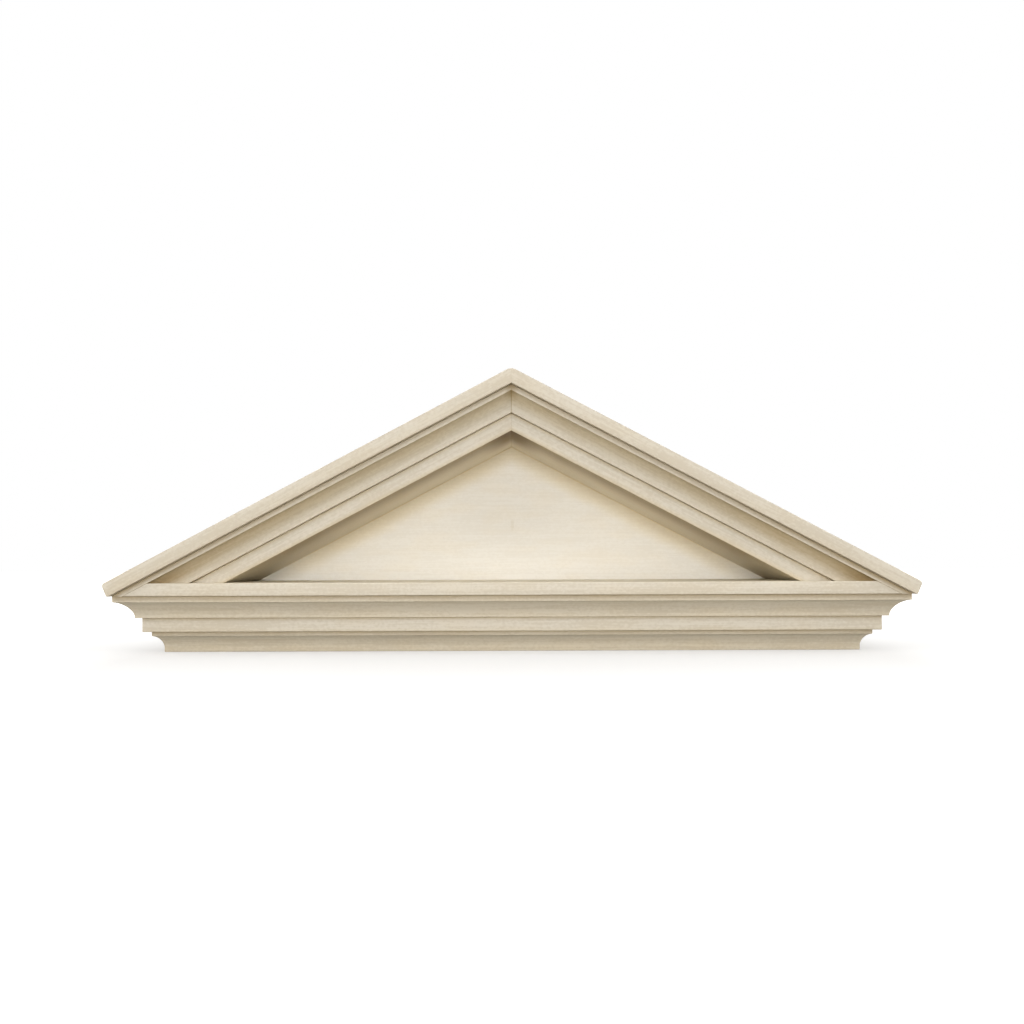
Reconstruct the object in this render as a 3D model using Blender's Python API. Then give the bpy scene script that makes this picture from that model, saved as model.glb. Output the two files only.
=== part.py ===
"""Classical pediment: a painted wooden gable box that is fixed over a door or a window.

X runs along the width, Y into the wall and Z up. The front faces -Y, and the origin is on
the underside, in the middle of the width and the depth. A set-back is measured into the
wall from the front edges of the roof boards, and a drop is measured square to the top of
the moulding or board that it belongs to.
"""

import math

import bmesh
import bpy

# Overall form, the span taken where the roof boards' top faces reach the base board's top
SPAN = 1.2206
PITCH = math.radians(27.75)
DEPTH = 0.219

# Thicknesses of the boards, the raking corona's being that of the soffit boards
ROOF_BOARD = 0.0208
BASE_BOARD = 0.0194
RAKE_CORONA = 0.0236
LEVEL_CORONA = 0.0222
PANEL = 0.0120

# Cove moulding, the same hollow on the rake and on the level under a fillet of its own
RAKE_FILLET = 0.0079
LEVEL_FILLET = 0.0094
COVE_DEPTH = 0.0230
COVE_HEIGHT = 0.0230
COVE_SAG = 0.0052
COVE_FOOT = 0.0024
COVE_STOCK = 0.0400

# Bed moulding under the corona board
BED_FILLET = 0.0073
BED_DEPTH = 0.0138
BED_HEIGHT = 0.0185
BED_SAG = 0.0038
BED_FOOT = 0.0076
BED_STOCK = 0.0300

# Reveals, each a step back from the piece above
RAKE_REVEAL = 0.0096
LEVEL_REVEAL = 0.0082
CORONA_REVEAL = 0.0077
BED_REVEAL = 0.0103

# Ends of the roof boards
END_INSET = 0.0055
END_CUT = math.radians(23.0)
END_ROUND = 0.0050
APEX_ROUND = 0.0150

# Joints and eased edges
JOINT = 0.0003
SEAT = 0.0008
EASE = 0.0010
EASE_STEPS = 3
ARC_STEPS = 12
CUTTER_MARGIN = 0.0100

# Levels, worked out from the sizes above
RAKE_COVE = RAKE_FILLET + COVE_HEIGHT + COVE_FOOT
LEVEL_COVE = LEVEL_FILLET + COVE_HEIGHT + COVE_FOOT
BED_TOTAL = BED_FILLET + BED_HEIGHT + BED_FOOT
CORONA_TOP = BED_TOTAL + LEVEL_CORONA
BASE_BOTTOM = CORONA_TOP + LEVEL_COVE
BASE_TOP = BASE_BOTTOM + BASE_BOARD
APEX = BASE_TOP + SPAN / 2 * math.tan(PITCH)
UNDER_APEX = APEX - ROOF_BOARD / math.cos(PITCH)

# Half widths and set-backs, the level mouldings ending flush with the roof boards' corners
EAVE_HALF = SPAN / 2 - END_INSET
LEVEL_SETBACK = RAKE_REVEAL + LEVEL_REVEAL
CORONA_STEP = COVE_DEPTH + CORONA_REVEAL
BED_STEP = CORONA_STEP + BED_REVEAL
SOFFIT_SETBACK = RAKE_REVEAL + CORONA_STEP
PANEL_SETBACK = DEPTH - PANEL

CREAM = (0.70, 0.63, 0.49)
ROUGHNESS = 0.55


def arc_at_corner(before, corner, after, radius):
    """Points of the arc that rounds one corner of a flat outline."""
    ax, ay = before[0] - corner[0], before[1] - corner[1]
    bx, by = after[0] - corner[0], after[1] - corner[1]
    length_a, length_b = math.hypot(ax, ay), math.hypot(bx, by)
    ax, ay, bx, by = ax / length_a, ay / length_a, bx / length_b, by / length_b
    half_angle = math.acos(max(-1.0, min(1.0, ax * bx + ay * by))) / 2
    reach = radius / math.tan(half_angle)
    scale = radius / math.sin(half_angle) / math.hypot(ax + bx, ay + by)
    centre_x, centre_y = corner[0] + (ax + bx) * scale, corner[1] + (ay + by) * scale
    start = math.atan2(corner[1] + ay * reach - centre_y, corner[0] + ax * reach - centre_x)
    end = math.atan2(corner[1] + by * reach - centre_y, corner[0] + bx * reach - centre_x)
    turn = (end - start + math.pi) % (2 * math.pi) - math.pi
    angles = [start + turn * step / EASE_STEPS for step in range(EASE_STEPS + 1)]
    return [(centre_x + radius * math.cos(a), centre_y + radius * math.sin(a)) for a in angles]


def rounded(outline):
    """An outline of (x, y, radius) corners, with an arc at each corner that has a radius."""
    points = []
    for index, (x, y, radius) in enumerate(outline):
        if radius:
            after = outline[(index + 1) % len(outline)]
            points += arc_at_corner(outline[index - 1], (x, y), after, radius)
        else:
            points.append((x, y))
    return points


def hollow(fillet, depth, height, sag):
    """A hollow from the fillet down to the foot, as (set-back, drop) points.

    The sag is how far the hollow goes in from a straight line between its two ends.
    """
    chord = math.hypot(depth, height)
    radius = (chord ** 2 / 4 + sag ** 2) / (2 * sag)
    half_sweep = math.asin(chord / 2 / radius)
    along_x, along_y = depth / chord, height / chord
    centre_x = depth / 2 - along_y * (radius - sag)
    centre_y = fillet + height / 2 + along_x * (radius - sag)
    points = []
    for step in range(1, ARC_STEPS + 1):
        angle = half_sweep * (2 * step / ARC_STEPS - 1)
        out, on = radius * math.cos(angle), radius * math.sin(angle)
        points.append((centre_x + along_y * out + along_x * on, centre_y - along_x * out + along_y * on))
    return points


def moulding_section(fillet, hollow_points, foot, stock, seat):
    """Section of a fillet over a hollow, a joint below the piece above and a seat at its foot."""
    depth, hollow_bottom = hollow_points[-1]
    bottom = hollow_bottom + foot - seat
    outline = [(stock, JOINT, 0), (0, JOINT, EASE), (0, fillet, EASE)]
    outline += [(set_back, drop, 0) for set_back, drop in hollow_points]
    outline += [(depth, bottom, EASE), (stock, bottom, 0)]
    return rounded(outline)


def cove_section(fillet):
    """Section of a cove, which has a board above it and a board below it."""
    points = hollow(fillet, COVE_DEPTH, COVE_HEIGHT, COVE_SAG)
    return moulding_section(fillet, points, COVE_FOOT, COVE_STOCK, JOINT)


def bed_section():
    """Section of the bed moulding, whose foot is the underside of the whole pediment."""
    points = hollow(BED_FILLET, BED_DEPTH, BED_HEIGHT, BED_SAG)
    return moulding_section(BED_FILLET, points, BED_FOOT, BED_STOCK, 0)


def front_y(set_back):
    """Y of a plane at a set-back from the roof boards' front."""
    return set_back - DEPTH / 2


def painted(piece, tint):
    """Give a piece its own coat of the cream paint, a shade lighter or darker."""
    material = bpy.data.materials.new(piece.name)
    material.use_nodes = True
    shader = material.node_tree.nodes["Principled BSDF"]
    shader.inputs["Base Color"].default_value = (*[channel * tint for channel in CREAM], 1.0)
    shader.inputs["Roughness"].default_value = ROUGHNESS
    shader.inputs["Metallic"].default_value = 0.0
    piece.data.materials.append(material)


def solid(name, near_ring, far_ring):
    """A closed piece between two rings of points that match one to one."""
    bm = bmesh.new()
    near = [bm.verts.new(point) for point in near_ring]
    far = [bm.verts.new(point) for point in far_ring]
    bm.faces.new(near)
    bm.faces.new(reversed(far))
    for index, vert in enumerate(near):
        following = (index + 1) % len(near)
        bm.faces.new((vert, far[index], far[following], near[following]))
    bmesh.ops.recalc_face_normals(bm, faces=bm.faces)
    mesh = bpy.data.meshes.new(name)
    bm.to_mesh(mesh)
    bm.free()
    piece = bpy.data.objects.new(name, mesh)
    bpy.context.scene.collection.objects.link(piece)
    return piece


def extruded(name, outline, front, back):
    """An outline in X and Z drawn out from one set-back to another."""
    near_ring = [(x, front_y(front), z) for x, z in outline]
    far_ring = [(x, front_y(back), z) for x, z in outline]
    return solid(name, near_ring, far_ring)


def ease_front(piece, apex_joint=None):
    """Ease the front edges of an extruded outline, but not those of an apex joint."""
    bm = bmesh.new()
    bm.from_mesh(piece.data)
    front = min(vert.co.y for vert in bm.verts)
    edges = []
    for edge in bm.edges:
        on_front = all(abs(vert.co.y - front) < JOINT / 10 for vert in edge.verts)
        on_joint = apex_joint is not None and all(
            abs(abs(vert.co.x) - apex_joint) < JOINT / 10 for vert in edge.verts
        )
        if on_front and not on_joint:
            edges.append(edge)
    bmesh.ops.bevel(bm, geom=edges, offset=EASE, segments=EASE_STEPS, profile=0.5, affect="EDGES")
    bm.to_mesh(piece.data)
    bm.free()


def front_run(name, section, step, top):
    """A level moulding along the front, mitred at both ends."""
    left_ring = []
    for set_back, drop in section:
        x = -(EAVE_HALF - step - set_back) + JOINT
        left_ring.append((x, front_y(LEVEL_SETBACK + step + set_back), top - drop))
    return solid(name, left_ring, [(-x, y, z) for x, y, z in left_ring])


def side_run(name, section, step, top, side):
    """A level moulding back to the wall along one end, mitred to the front run."""
    near_ring = []
    for set_back, drop in section:
        x = side * (EAVE_HALF - step - set_back)
        near_ring.append((x, front_y(LEVEL_SETBACK + step + set_back) + JOINT, top - drop))
    return solid(name, near_ring, [(x, front_y(DEPTH), z) for x, y, z in near_ring])


def raking_run(name, section, set_back, foot_level, side):
    """A moulding or board under a roof board, mitred at the apex and cut level at its foot."""
    cosine, sine = math.cos(PITCH), math.sin(PITCH)
    top_ring, foot_ring = [], []
    for section_set_back, drop in section:
        y = front_y(set_back + section_set_back)
        top_along = (JOINT / 2 + drop * sine) / cosine
        foot_along = (UNDER_APEX - foot_level - drop * cosine) / sine
        for ring, along in ((top_ring, top_along), (foot_ring, foot_along)):
            x = along * cosine - drop * sine
            ring.append((side * x, y, UNDER_APEX - along * sine - drop * cosine))
    return solid(name, top_ring, foot_ring)


def base_outline(clearance, below):
    """Base board with ends bevelled to the rake, grown by a clearance and drawn down."""
    top, bottom = BASE_TOP + clearance, BASE_BOTTOM - below
    drop = (RAKE_FILLET + SEAT - clearance) / math.cos(PITCH)
    half_top, half_bottom = ((UNDER_APEX - drop - level) / math.tan(PITCH) for level in (top, bottom))
    return [(-half_bottom, bottom), (half_bottom, bottom), (half_top, top), (-half_top, top)]


def roof_outline(side):
    """Outline of one roof board, its lower end cut back and its corners rounded."""
    slope = math.tan(PITCH)
    ridge_x, eave_x = JOINT / 2, (UNDER_APEX - BASE_BOTTOM) / slope
    tip_rise = (APEX - EAVE_HALF * slope - BASE_BOTTOM) / (1 + math.tan(END_CUT) * slope)
    tip_x = EAVE_HALF + tip_rise * math.tan(END_CUT)
    outline = rounded([
        (ridge_x, UNDER_APEX - ridge_x * slope, 0),
        (eave_x, BASE_BOTTOM, 0),
        (EAVE_HALF, BASE_BOTTOM, EASE),
        (tip_x, BASE_BOTTOM + tip_rise, END_ROUND),
    ])
    crown_centre = APEX - APEX_ROUND / math.cos(PITCH)
    for step in range(EASE_STEPS + 1):
        angle = PITCH * (1 - step / EASE_STEPS)
        x = max(ridge_x, APEX_ROUND * math.sin(angle))
        outline.append((x, crown_centre + APEX_ROUND * math.cos(angle)))
    return [(side * x, z) for x, z in outline]


def make_base_board():
    """Full-width board whose front edge is the band between the two cornices."""
    board = extruded("base_board", base_outline(0, 0), RAKE_REVEAL, PANEL_SETBACK - JOINT)
    ease_front(board)
    painted(board, 1.03)


def make_corona_board():
    """Board whose front edge is the corona of the level cornice."""
    half = EAVE_HALF - CORONA_STEP
    outline = rounded([
        (-half, BED_TOTAL, EASE), (half, BED_TOTAL, EASE),
        (half, CORONA_TOP, EASE), (-half, CORONA_TOP, EASE),
    ])
    board = extruded("corona_board", outline, LEVEL_SETBACK + CORONA_STEP, DEPTH)
    ease_front(board)
    painted(board, 1.0)


def make_level_mouldings():
    """Cove above the corona and bed moulding below it, each in three mitred pieces."""
    for kind, section, step, top, tint in (
        ("cornice_cove", cove_section(LEVEL_FILLET), 0, BASE_BOTTOM, 0.96),
        ("bed_mould", bed_section(), BED_STEP, BED_TOTAL, 0.94),
    ):
        painted(front_run(f"{kind}_front", section, step, top), tint)
        for side, word in ((-1, "left"), (1, "right")):
            painted(side_run(f"{kind}_{word}", section, step, top, side), tint)


def make_roof_boards():
    """Two boards over the gable, mitred at the apex."""
    for side, word in ((-1, "left"), (1, "right")):
        board = extruded(f"roof_board_{word}", roof_outline(side), 0, DEPTH)
        ease_front(board, apex_joint=JOINT / 2)
        painted(board, 1.04)


def make_raking_coves():
    """Coves under the roof boards, notched so that their fillets run on over the base board."""
    outline = base_outline(JOINT, CUTTER_MARGIN)
    cutter = extruded("base_board_cutter", outline, -CUTTER_MARGIN, DEPTH)
    cutter.hide_render = True
    cutter.display_type = "WIRE"
    for side, word in ((-1, "left"), (1, "right")):
        section = cove_section(RAKE_FILLET)
        cove = raking_run(f"raking_cove_{word}", section, RAKE_REVEAL, BASE_BOTTOM, side)
        notch = cove.modifiers.new("base_board_notch", "BOOLEAN")
        notch.operation = "DIFFERENCE"
        notch.object = cutter
        painted(cove, 0.95)


def make_soffit_boards():
    """Boards under the coves, whose front edges are the raking corona."""
    back, bottom = PANEL_SETBACK - JOINT - SOFFIT_SETBACK, RAKE_COVE + RAKE_CORONA
    section = rounded([(back, RAKE_COVE, 0), (0, RAKE_COVE, EASE), (0, bottom, EASE), (back, bottom, 0)])
    for side, word in ((-1, "left"), (1, "right")):
        board = raking_run(f"soffit_board_{word}", section, SOFFIT_SETBACK, BASE_TOP + JOINT, side)
        painted(board, 1.0)


def make_tympanum_panel():
    """Plain panel that closes the back of the gable and shows in its recess."""
    apex = UNDER_APEX - JOINT / math.cos(PITCH)
    half = (apex - BASE_BOTTOM) / math.tan(PITCH)
    outline = [(-half, BASE_BOTTOM), (half, BASE_BOTTOM), (0, apex)]
    painted(extruded("tympanum_panel", outline, PANEL_SETBACK, DEPTH), 1.06)


def main():
    """Clear the scene and build every piece of the pediment."""
    for old_object in list(bpy.data.objects):
        bpy.data.objects.remove(old_object, do_unlink=True)
    make_base_board()
    make_corona_board()
    make_level_mouldings()
    make_roof_boards()
    make_raking_coves()
    make_soffit_boards()
    make_tympanum_panel()


if __name__ == "__main__":
    main()
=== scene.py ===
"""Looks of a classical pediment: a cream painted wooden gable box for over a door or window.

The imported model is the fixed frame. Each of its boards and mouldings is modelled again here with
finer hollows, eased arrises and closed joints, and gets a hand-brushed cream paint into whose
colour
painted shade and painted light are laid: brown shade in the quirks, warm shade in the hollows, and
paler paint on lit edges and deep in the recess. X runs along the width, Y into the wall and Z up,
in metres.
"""

from __future__ import annotations

import logging
import math
from dataclasses import dataclass
from enum import Enum
from typing import Any, Callable, Sequence

import bmesh
import bpy
from mathutils import Euler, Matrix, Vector

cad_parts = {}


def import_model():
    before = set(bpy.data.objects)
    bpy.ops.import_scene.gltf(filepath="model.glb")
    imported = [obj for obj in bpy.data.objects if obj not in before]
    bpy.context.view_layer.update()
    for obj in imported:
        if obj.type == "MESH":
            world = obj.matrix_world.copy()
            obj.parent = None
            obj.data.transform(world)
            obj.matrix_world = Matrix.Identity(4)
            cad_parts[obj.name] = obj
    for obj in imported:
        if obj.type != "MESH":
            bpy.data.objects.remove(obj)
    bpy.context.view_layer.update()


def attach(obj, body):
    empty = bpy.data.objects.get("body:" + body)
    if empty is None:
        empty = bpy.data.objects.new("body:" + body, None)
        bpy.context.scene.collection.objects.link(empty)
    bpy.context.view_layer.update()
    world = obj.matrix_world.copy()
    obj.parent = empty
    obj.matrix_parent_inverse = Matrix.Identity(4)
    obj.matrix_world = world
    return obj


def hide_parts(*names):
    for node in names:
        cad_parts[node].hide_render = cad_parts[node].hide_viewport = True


LOG = logging.getLogger("pediment")
Colour = tuple[float, float, float]
EdgeTest = Callable[[Vector, Vector], bool]

# Two places this close together are one.
NEAR = 1e-5
# Height over which the painted shade and light change at the top of a hollow.
HOLLOW_EDGE = 0.0006
SOFT_WHITE: Colour = (1.0, 0.98, 0.94)
LAMP_WHITE: Colour = (1.0, 0.96, 0.87)


@dataclass(frozen=True)
class HollowSizes:
    """A moulding's section: a fillet over a hollow over a small flat foot."""

    fillet: float
    depth: float
    height: float
    foot: float
    stock: float
    roundness: float

    @property
    def total(self) -> float:
        """Height of the whole section."""
        return self.fillet + self.height + self.foot


@dataclass(frozen=True)
class PedimentSizes:
    """The pediment's sizes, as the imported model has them, its noses and ridge a hair rounder."""

    span: float = 1.2206
    pitch: float = math.radians(27.75)
    depth: float = 0.219
    roof_board: float = 0.0208
    base_board: float = 0.0194
    rake_corona: float = 0.0236
    level_corona: float = 0.0222
    panel: float = 0.0120
    rake_reveal: float = 0.0096
    level_reveal: float = 0.0082
    corona_reveal: float = 0.0077
    bed_reveal: float = 0.0103
    end_inset: float = 0.0055
    end_cut: float = math.radians(23.0)
    end_round: float = 0.0052
    apex_round: float = 0.0152
    arris: float = 0.0010
    rake_cove: HollowSizes = HollowSizes(
        fillet=0.0079, depth=0.0230, height=0.0230, foot=0.0024, stock=0.0400, roundness=1.667
    )
    level_cove: HollowSizes = HollowSizes(
        fillet=0.0094, depth=0.0230, height=0.0230, foot=0.0024, stock=0.0400, roundness=1.667
    )
    bed: HollowSizes = HollowSizes(
        fillet=0.0073, depth=0.0138, height=0.0185, foot=0.0076, stock=0.0300, roundness=1.75
    )

    @property
    def corona_top(self) -> float:
        """Level of the corona board's top."""
        return self.bed.total + self.level_corona

    @property
    def base_bottom(self) -> float:
        """Level of the base board's underside."""
        return self.corona_top + self.level_cove.total

    @property
    def base_top(self) -> float:
        """Level of the base board's top."""
        return self.base_bottom + self.base_board

    @property
    def apex(self) -> float:
        """Level at which the roof boards' tops would meet without the rounded ridge."""
        return self.base_top + self.span / 2 * math.tan(self.pitch)

    @property
    def under_apex(self) -> float:
        """Level at which the roof boards' undersides meet."""
        return self.apex - self.roof_board / math.cos(self.pitch)

    @property
    def eave_half(self) -> float:
        """Half width over the level cove and the roof boards' lower corners."""
        return self.span / 2 - self.end_inset

    @property
    def level_setback(self) -> float:
        """Set-back of the level cove's fillet from the roof boards' front."""
        return self.rake_reveal + self.level_reveal

    @property
    def corona_step(self) -> float:
        """Step back from a cove's fillet to the corona under it."""
        return self.level_cove.depth + self.corona_reveal

    @property
    def bed_step(self) -> float:
        """Step back from the level cove's fillet to the bed moulding's."""
        return self.corona_step + self.bed_reveal

    @property
    def soffit_setback(self) -> float:
        """Set-back of the raking corona's face."""
        return self.rake_reveal + self.rake_cove.depth + self.corona_reveal

    @property
    def soffit_drop(self) -> float:
        """Drop of the soffit from the roof boards' underside, square to the slope."""
        return self.rake_cove.total + self.rake_corona

    @property
    def panel_setback(self) -> float:
        """Set-back of the tympanum panel's face."""
        return self.depth - self.panel

    def front_y(self, set_back: float) -> float:
        """Y of a plane at a set-back from the roof boards' front."""
        return set_back - self.depth / 2


SIZES = PedimentSizes()


class Lie(Enum):
    """How a piece lies, which sets the way that its grain runs."""

    LEVEL = "level"
    RETURN = "return"
    RAKING = "raking"


class Bench:
    """Blender's modelling tools, used the way a joiner uses a bench."""

    LONG = 2.0
    WELD = 1e-6
    SMOOTH_UP_TO = math.radians(32.0)

    @staticmethod
    def clear() -> None:
        """Deselect every object."""
        for piece in list(bpy.context.selected_objects):
            piece.select_set(False)

    @classmethod
    def take(cls, piece: bpy.types.Object) -> None:
        """Make a piece the only selected object and the active one."""
        cls.clear()
        piece.select_set(True)
        bpy.context.view_layer.objects.active = piece

    @classmethod
    def block(cls, name: str, low: Sequence[float], high: Sequence[float]) -> bpy.types.Object:
        """Saw a block.

        Args:
            name: Name of the piece.
            low: Its lowest corner.
            high: Its highest corner.

        Returns:
            The block, at the origin with its place in its mesh.
        """
        cls.clear()
        bpy.ops.mesh.primitive_cube_add(size=1.0, location=(Vector(low) + Vector(high)) / 2)
        piece = bpy.context.object
        piece.name = piece.data.name = name
        piece.scale = Vector(high) - Vector(low)
        cls.settle(piece)
        return piece

    @classmethod
    def settle(cls, piece: bpy.types.Object) -> None:
        """Move a piece's place, turn and scale into its mesh."""
        cls.take(piece)
        bpy.ops.object.transform_apply(location=True, rotation=True, scale=True)

    @classmethod
    def lay(cls, piece: bpy.types.Object, place: Sequence[float], turn: Sequence[float]) -> None:
        """Turn a piece about the origin and then move it."""
        piece.rotation_euler = Euler(turn)
        piece.location = Vector(place)
        cls.settle(piece)

    @classmethod
    def cut(cls, piece: bpy.types.Object, point: Sequence[float], off: Sequence[float]) -> None:
        """Saw a piece through and drop one side.

        Args:
            piece: The piece to saw.
            point: A point on the saw cut.
            off: Direction of the part that drops off.
        """
        cls.take(piece)
        bpy.ops.object.mode_set(mode="EDIT")
        bpy.ops.mesh.select_all(action="SELECT")
        bpy.ops.mesh.bisect(plane_co=point, plane_no=off, use_fill=True, clear_outer=True)
        bpy.ops.object.mode_set(mode="OBJECT")

    @classmethod
    def pick_edges(cls, piece: bpy.types.Object, wanted: EdgeTest) -> None:
        """Go into edit mode with only the wanted edges selected."""
        cls.take(piece)
        bpy.ops.object.mode_set(mode="EDIT")
        bpy.ops.mesh.select_all(action="DESELECT")
        bpy.ops.mesh.select_mode(type="EDGE")
        mesh = bmesh.from_edit_mesh(piece.data)
        for edge in mesh.edges:
            if wanted(edge.verts[0].co, edge.verts[1].co):
                edge.select_set(True)
        bmesh.update_edit_mesh(piece.data)

    @classmethod
    def round_edges(
        cls,
        piece: bpy.types.Object,
        wanted: EdgeTest,
        width: float,
        steps: int = 4,
        profile: float = 0.5,
    ) -> None:
        """Round or hollow the wanted edges.

        Args:
            piece: The piece to shape.
            wanted: Says whether the edge between two points is shaped.
            width: Width taken off each side of the edge.
            steps: Number of facets.
            profile: Blender's bevel profile, 0.5 for a round.
        """
        cls.pick_edges(piece, wanted)
        bpy.ops.mesh.bevel(
            offset=width, segments=steps, profile=profile, affect="EDGES", clamp_overlap=False
        )
        bpy.ops.mesh.select_all(action="SELECT")
        bpy.ops.mesh.remove_doubles(threshold=cls.WELD)
        bpy.ops.object.mode_set(mode="OBJECT")

    @classmethod
    def subtract(cls, piece: bpy.types.Object, cutter: bpy.types.Object) -> None:
        """Cut another piece's shape out of a piece."""
        cls.take(piece)
        notch = piece.modifiers.new("notch", "BOOLEAN")
        notch.operation = "DIFFERENCE"
        notch.solver = "EXACT"
        notch.object = cutter
        bpy.ops.object.modifier_apply(modifier=notch.name)

    @classmethod
    def smooth(cls, piece: bpy.types.Object) -> None:
        """Shade the hollows and rounds smooth and keep the corners crisp."""
        cls.take(piece)
        bpy.ops.object.shade_smooth_by_angle(angle=cls.SMOOTH_UP_TO)


def on_depth(y: float) -> EdgeTest:
    """A test for edges that lie in the plane at one depth."""
    return lambda a, b: abs(a.y - y) < NEAR and abs(b.y - y) < NEAR


def long_edge(y: float) -> EdgeTest:
    """A test for edges that run along X at one depth."""
    in_plane = on_depth(y)
    return lambda a, b: in_plane(a, b) and abs(a.z - b.z) < NEAR


@dataclass(frozen=True)
class Band:
    """A band that fades from its full strength at one value to nothing at another."""

    start: float
    end: float
    strength: float


@dataclass(frozen=True)
class Grain:
    """A layer of noise, stretched along the grain.

    Along and across are blotches in a metre. Tone, relief and dulling say how much the layer tells
    in the paint's colour, height and roughness.
    """

    along: float
    across: float
    detail: float
    rough: float = 0.5
    start: float = 0.0
    tone: float = 0.0
    relief: float = 0.0
    dulling: float = 0.0


class Wire:
    """A number in a node tree, with which Python's signs do shader maths."""

    def __init__(self, bench: NodeBench, socket: bpy.types.NodeSocket) -> None:
        self.bench = bench
        self.socket = socket

    def __add__(self, other: Any) -> Wire:
        """Sum."""
        return self.bench.maths("ADD", self, other)

    def __sub__(self, other: Any) -> Wire:
        """Difference."""
        return self.bench.maths("SUBTRACT", self, other)

    def __rsub__(self, other: Any) -> Wire:
        """Difference from a number."""
        return self.bench.maths("SUBTRACT", other, self)

    def __mul__(self, other: Any) -> Wire:
        """Product."""
        return self.bench.maths("MULTIPLY", self, other)

    def __truediv__(self, other: Any) -> Wire:
        """Quotient."""
        return self.bench.maths("DIVIDE", self, other)

    def __abs__(self) -> Wire:
        """Size without the sign."""
        return self.bench.maths("ABSOLUTE", self)


class NodeBench:
    """Lays nodes in one tree."""

    def __init__(self, tree: bpy.types.NodeTree) -> None:
        self.tree = tree

    def node(
        self,
        kind: str,
        settings: dict[str, Any] | None = None,
        inputs: dict[Any, Any] | None = None,
    ) -> bpy.types.Node:
        """Add a node.

        Args:
            kind: Blender's name of the node's type.
            settings: Values of its own settings, which are set first.
            inputs: Values or links of its sockets, by name or number.

        Returns:
            The new node.
        """
        node = self.tree.nodes.new(kind)
        for key, value in (settings or {}).items():
            setattr(node, key, value)
        for key, value in (inputs or {}).items():
            self.feed(node.inputs[key], value)
        return node

    def feed(self, socket: bpy.types.NodeSocket, value: Any) -> None:
        """Link a wire or a socket to an input, or set the input's own value."""
        if isinstance(value, Wire):
            value = value.socket
        if isinstance(value, bpy.types.NodeSocket):
            self.tree.links.new(value, socket)
        elif isinstance(value, tuple) and socket.type == "RGBA":
            socket.default_value = (*value, 1.0)
        else:
            socket.default_value = value

    def maths(self, operation: str, *values: Any) -> Wire:
        """Join wires or numbers by one Math node."""
        node = self.node("ShaderNodeMath", {"operation": operation}, dict(enumerate(values)))
        return Wire(self, node.outputs[0])

    def ramp(self, value: Any, start: float, end: float) -> Wire:
        """Go smoothly from 0 where the value is start to 1 where it is end."""
        inputs = {"Value": value, "From Min": start, "From Max": end}
        settings = {"interpolation_type": "SMOOTHSTEP"}
        return Wire(self, self.node("ShaderNodeMapRange", settings, inputs).outputs[0])

    def fade(self, value: Any, band: Band) -> Wire:
        """Follow one band."""
        return self.ramp(value, band.end, band.start) * band.strength

    def fades(self, value: Any, bands: Sequence[Band]) -> Any:
        """Add up some bands."""
        total: Any = 0.0
        for band in bands:
            total = self.fade(value, band) + total
        return total

    def place(self, space: str = "Object") -> tuple[Wire, ...]:
        """A point's X, Y and Z in a space, by default the object's own."""
        where = self.node("ShaderNodeTexCoord").outputs[space]
        split = self.node("ShaderNodeSeparateXYZ", None, {0: where})
        return tuple(Wire(self, output) for output in split.outputs)

    def grain(self, layer: Grain, axes: tuple[Wire, Wire, Wire]) -> Wire:
        """One layer of noise, from 0 to 1.

        Args:
            layer: The layer.
            axes: The run along the grain, the drop and the way out.

        Returns:
            The noise.
        """
        run, drop, out = axes
        scaled = (run * layer.along + layer.start, drop * layer.across, out * layer.across)
        where = self.node("ShaderNodeCombineXYZ", None, dict(enumerate(scaled))).outputs[0]
        inputs = {"Vector": where, "Scale": 1.0, "Detail": layer.detail, "Roughness": layer.rough}
        return Wire(self, self.node("ShaderNodeTexNoise", None, inputs).outputs["Fac"])

    def blend(
        self, factor: Any, first: Any, second: Any, how: str = "MIX"
    ) -> bpy.types.NodeSocket:
        """Mix two colours."""
        settings = {"data_type": "RGBA", "blend_type": how, "clamp_factor": True}
        node = self.node("ShaderNodeMix", settings, {0: factor, 6: first, 7: second})
        return node.outputs[2]


class PaintBench(NodeBench):
    """Lays the nodes of one new material."""

    def __init__(self, name: str) -> None:
        self.material = bpy.data.materials.new(name)
        self.material.use_nodes = True
        super().__init__(self.material.node_tree)
        self.shader = self.tree.nodes["Principled BSDF"]


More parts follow.
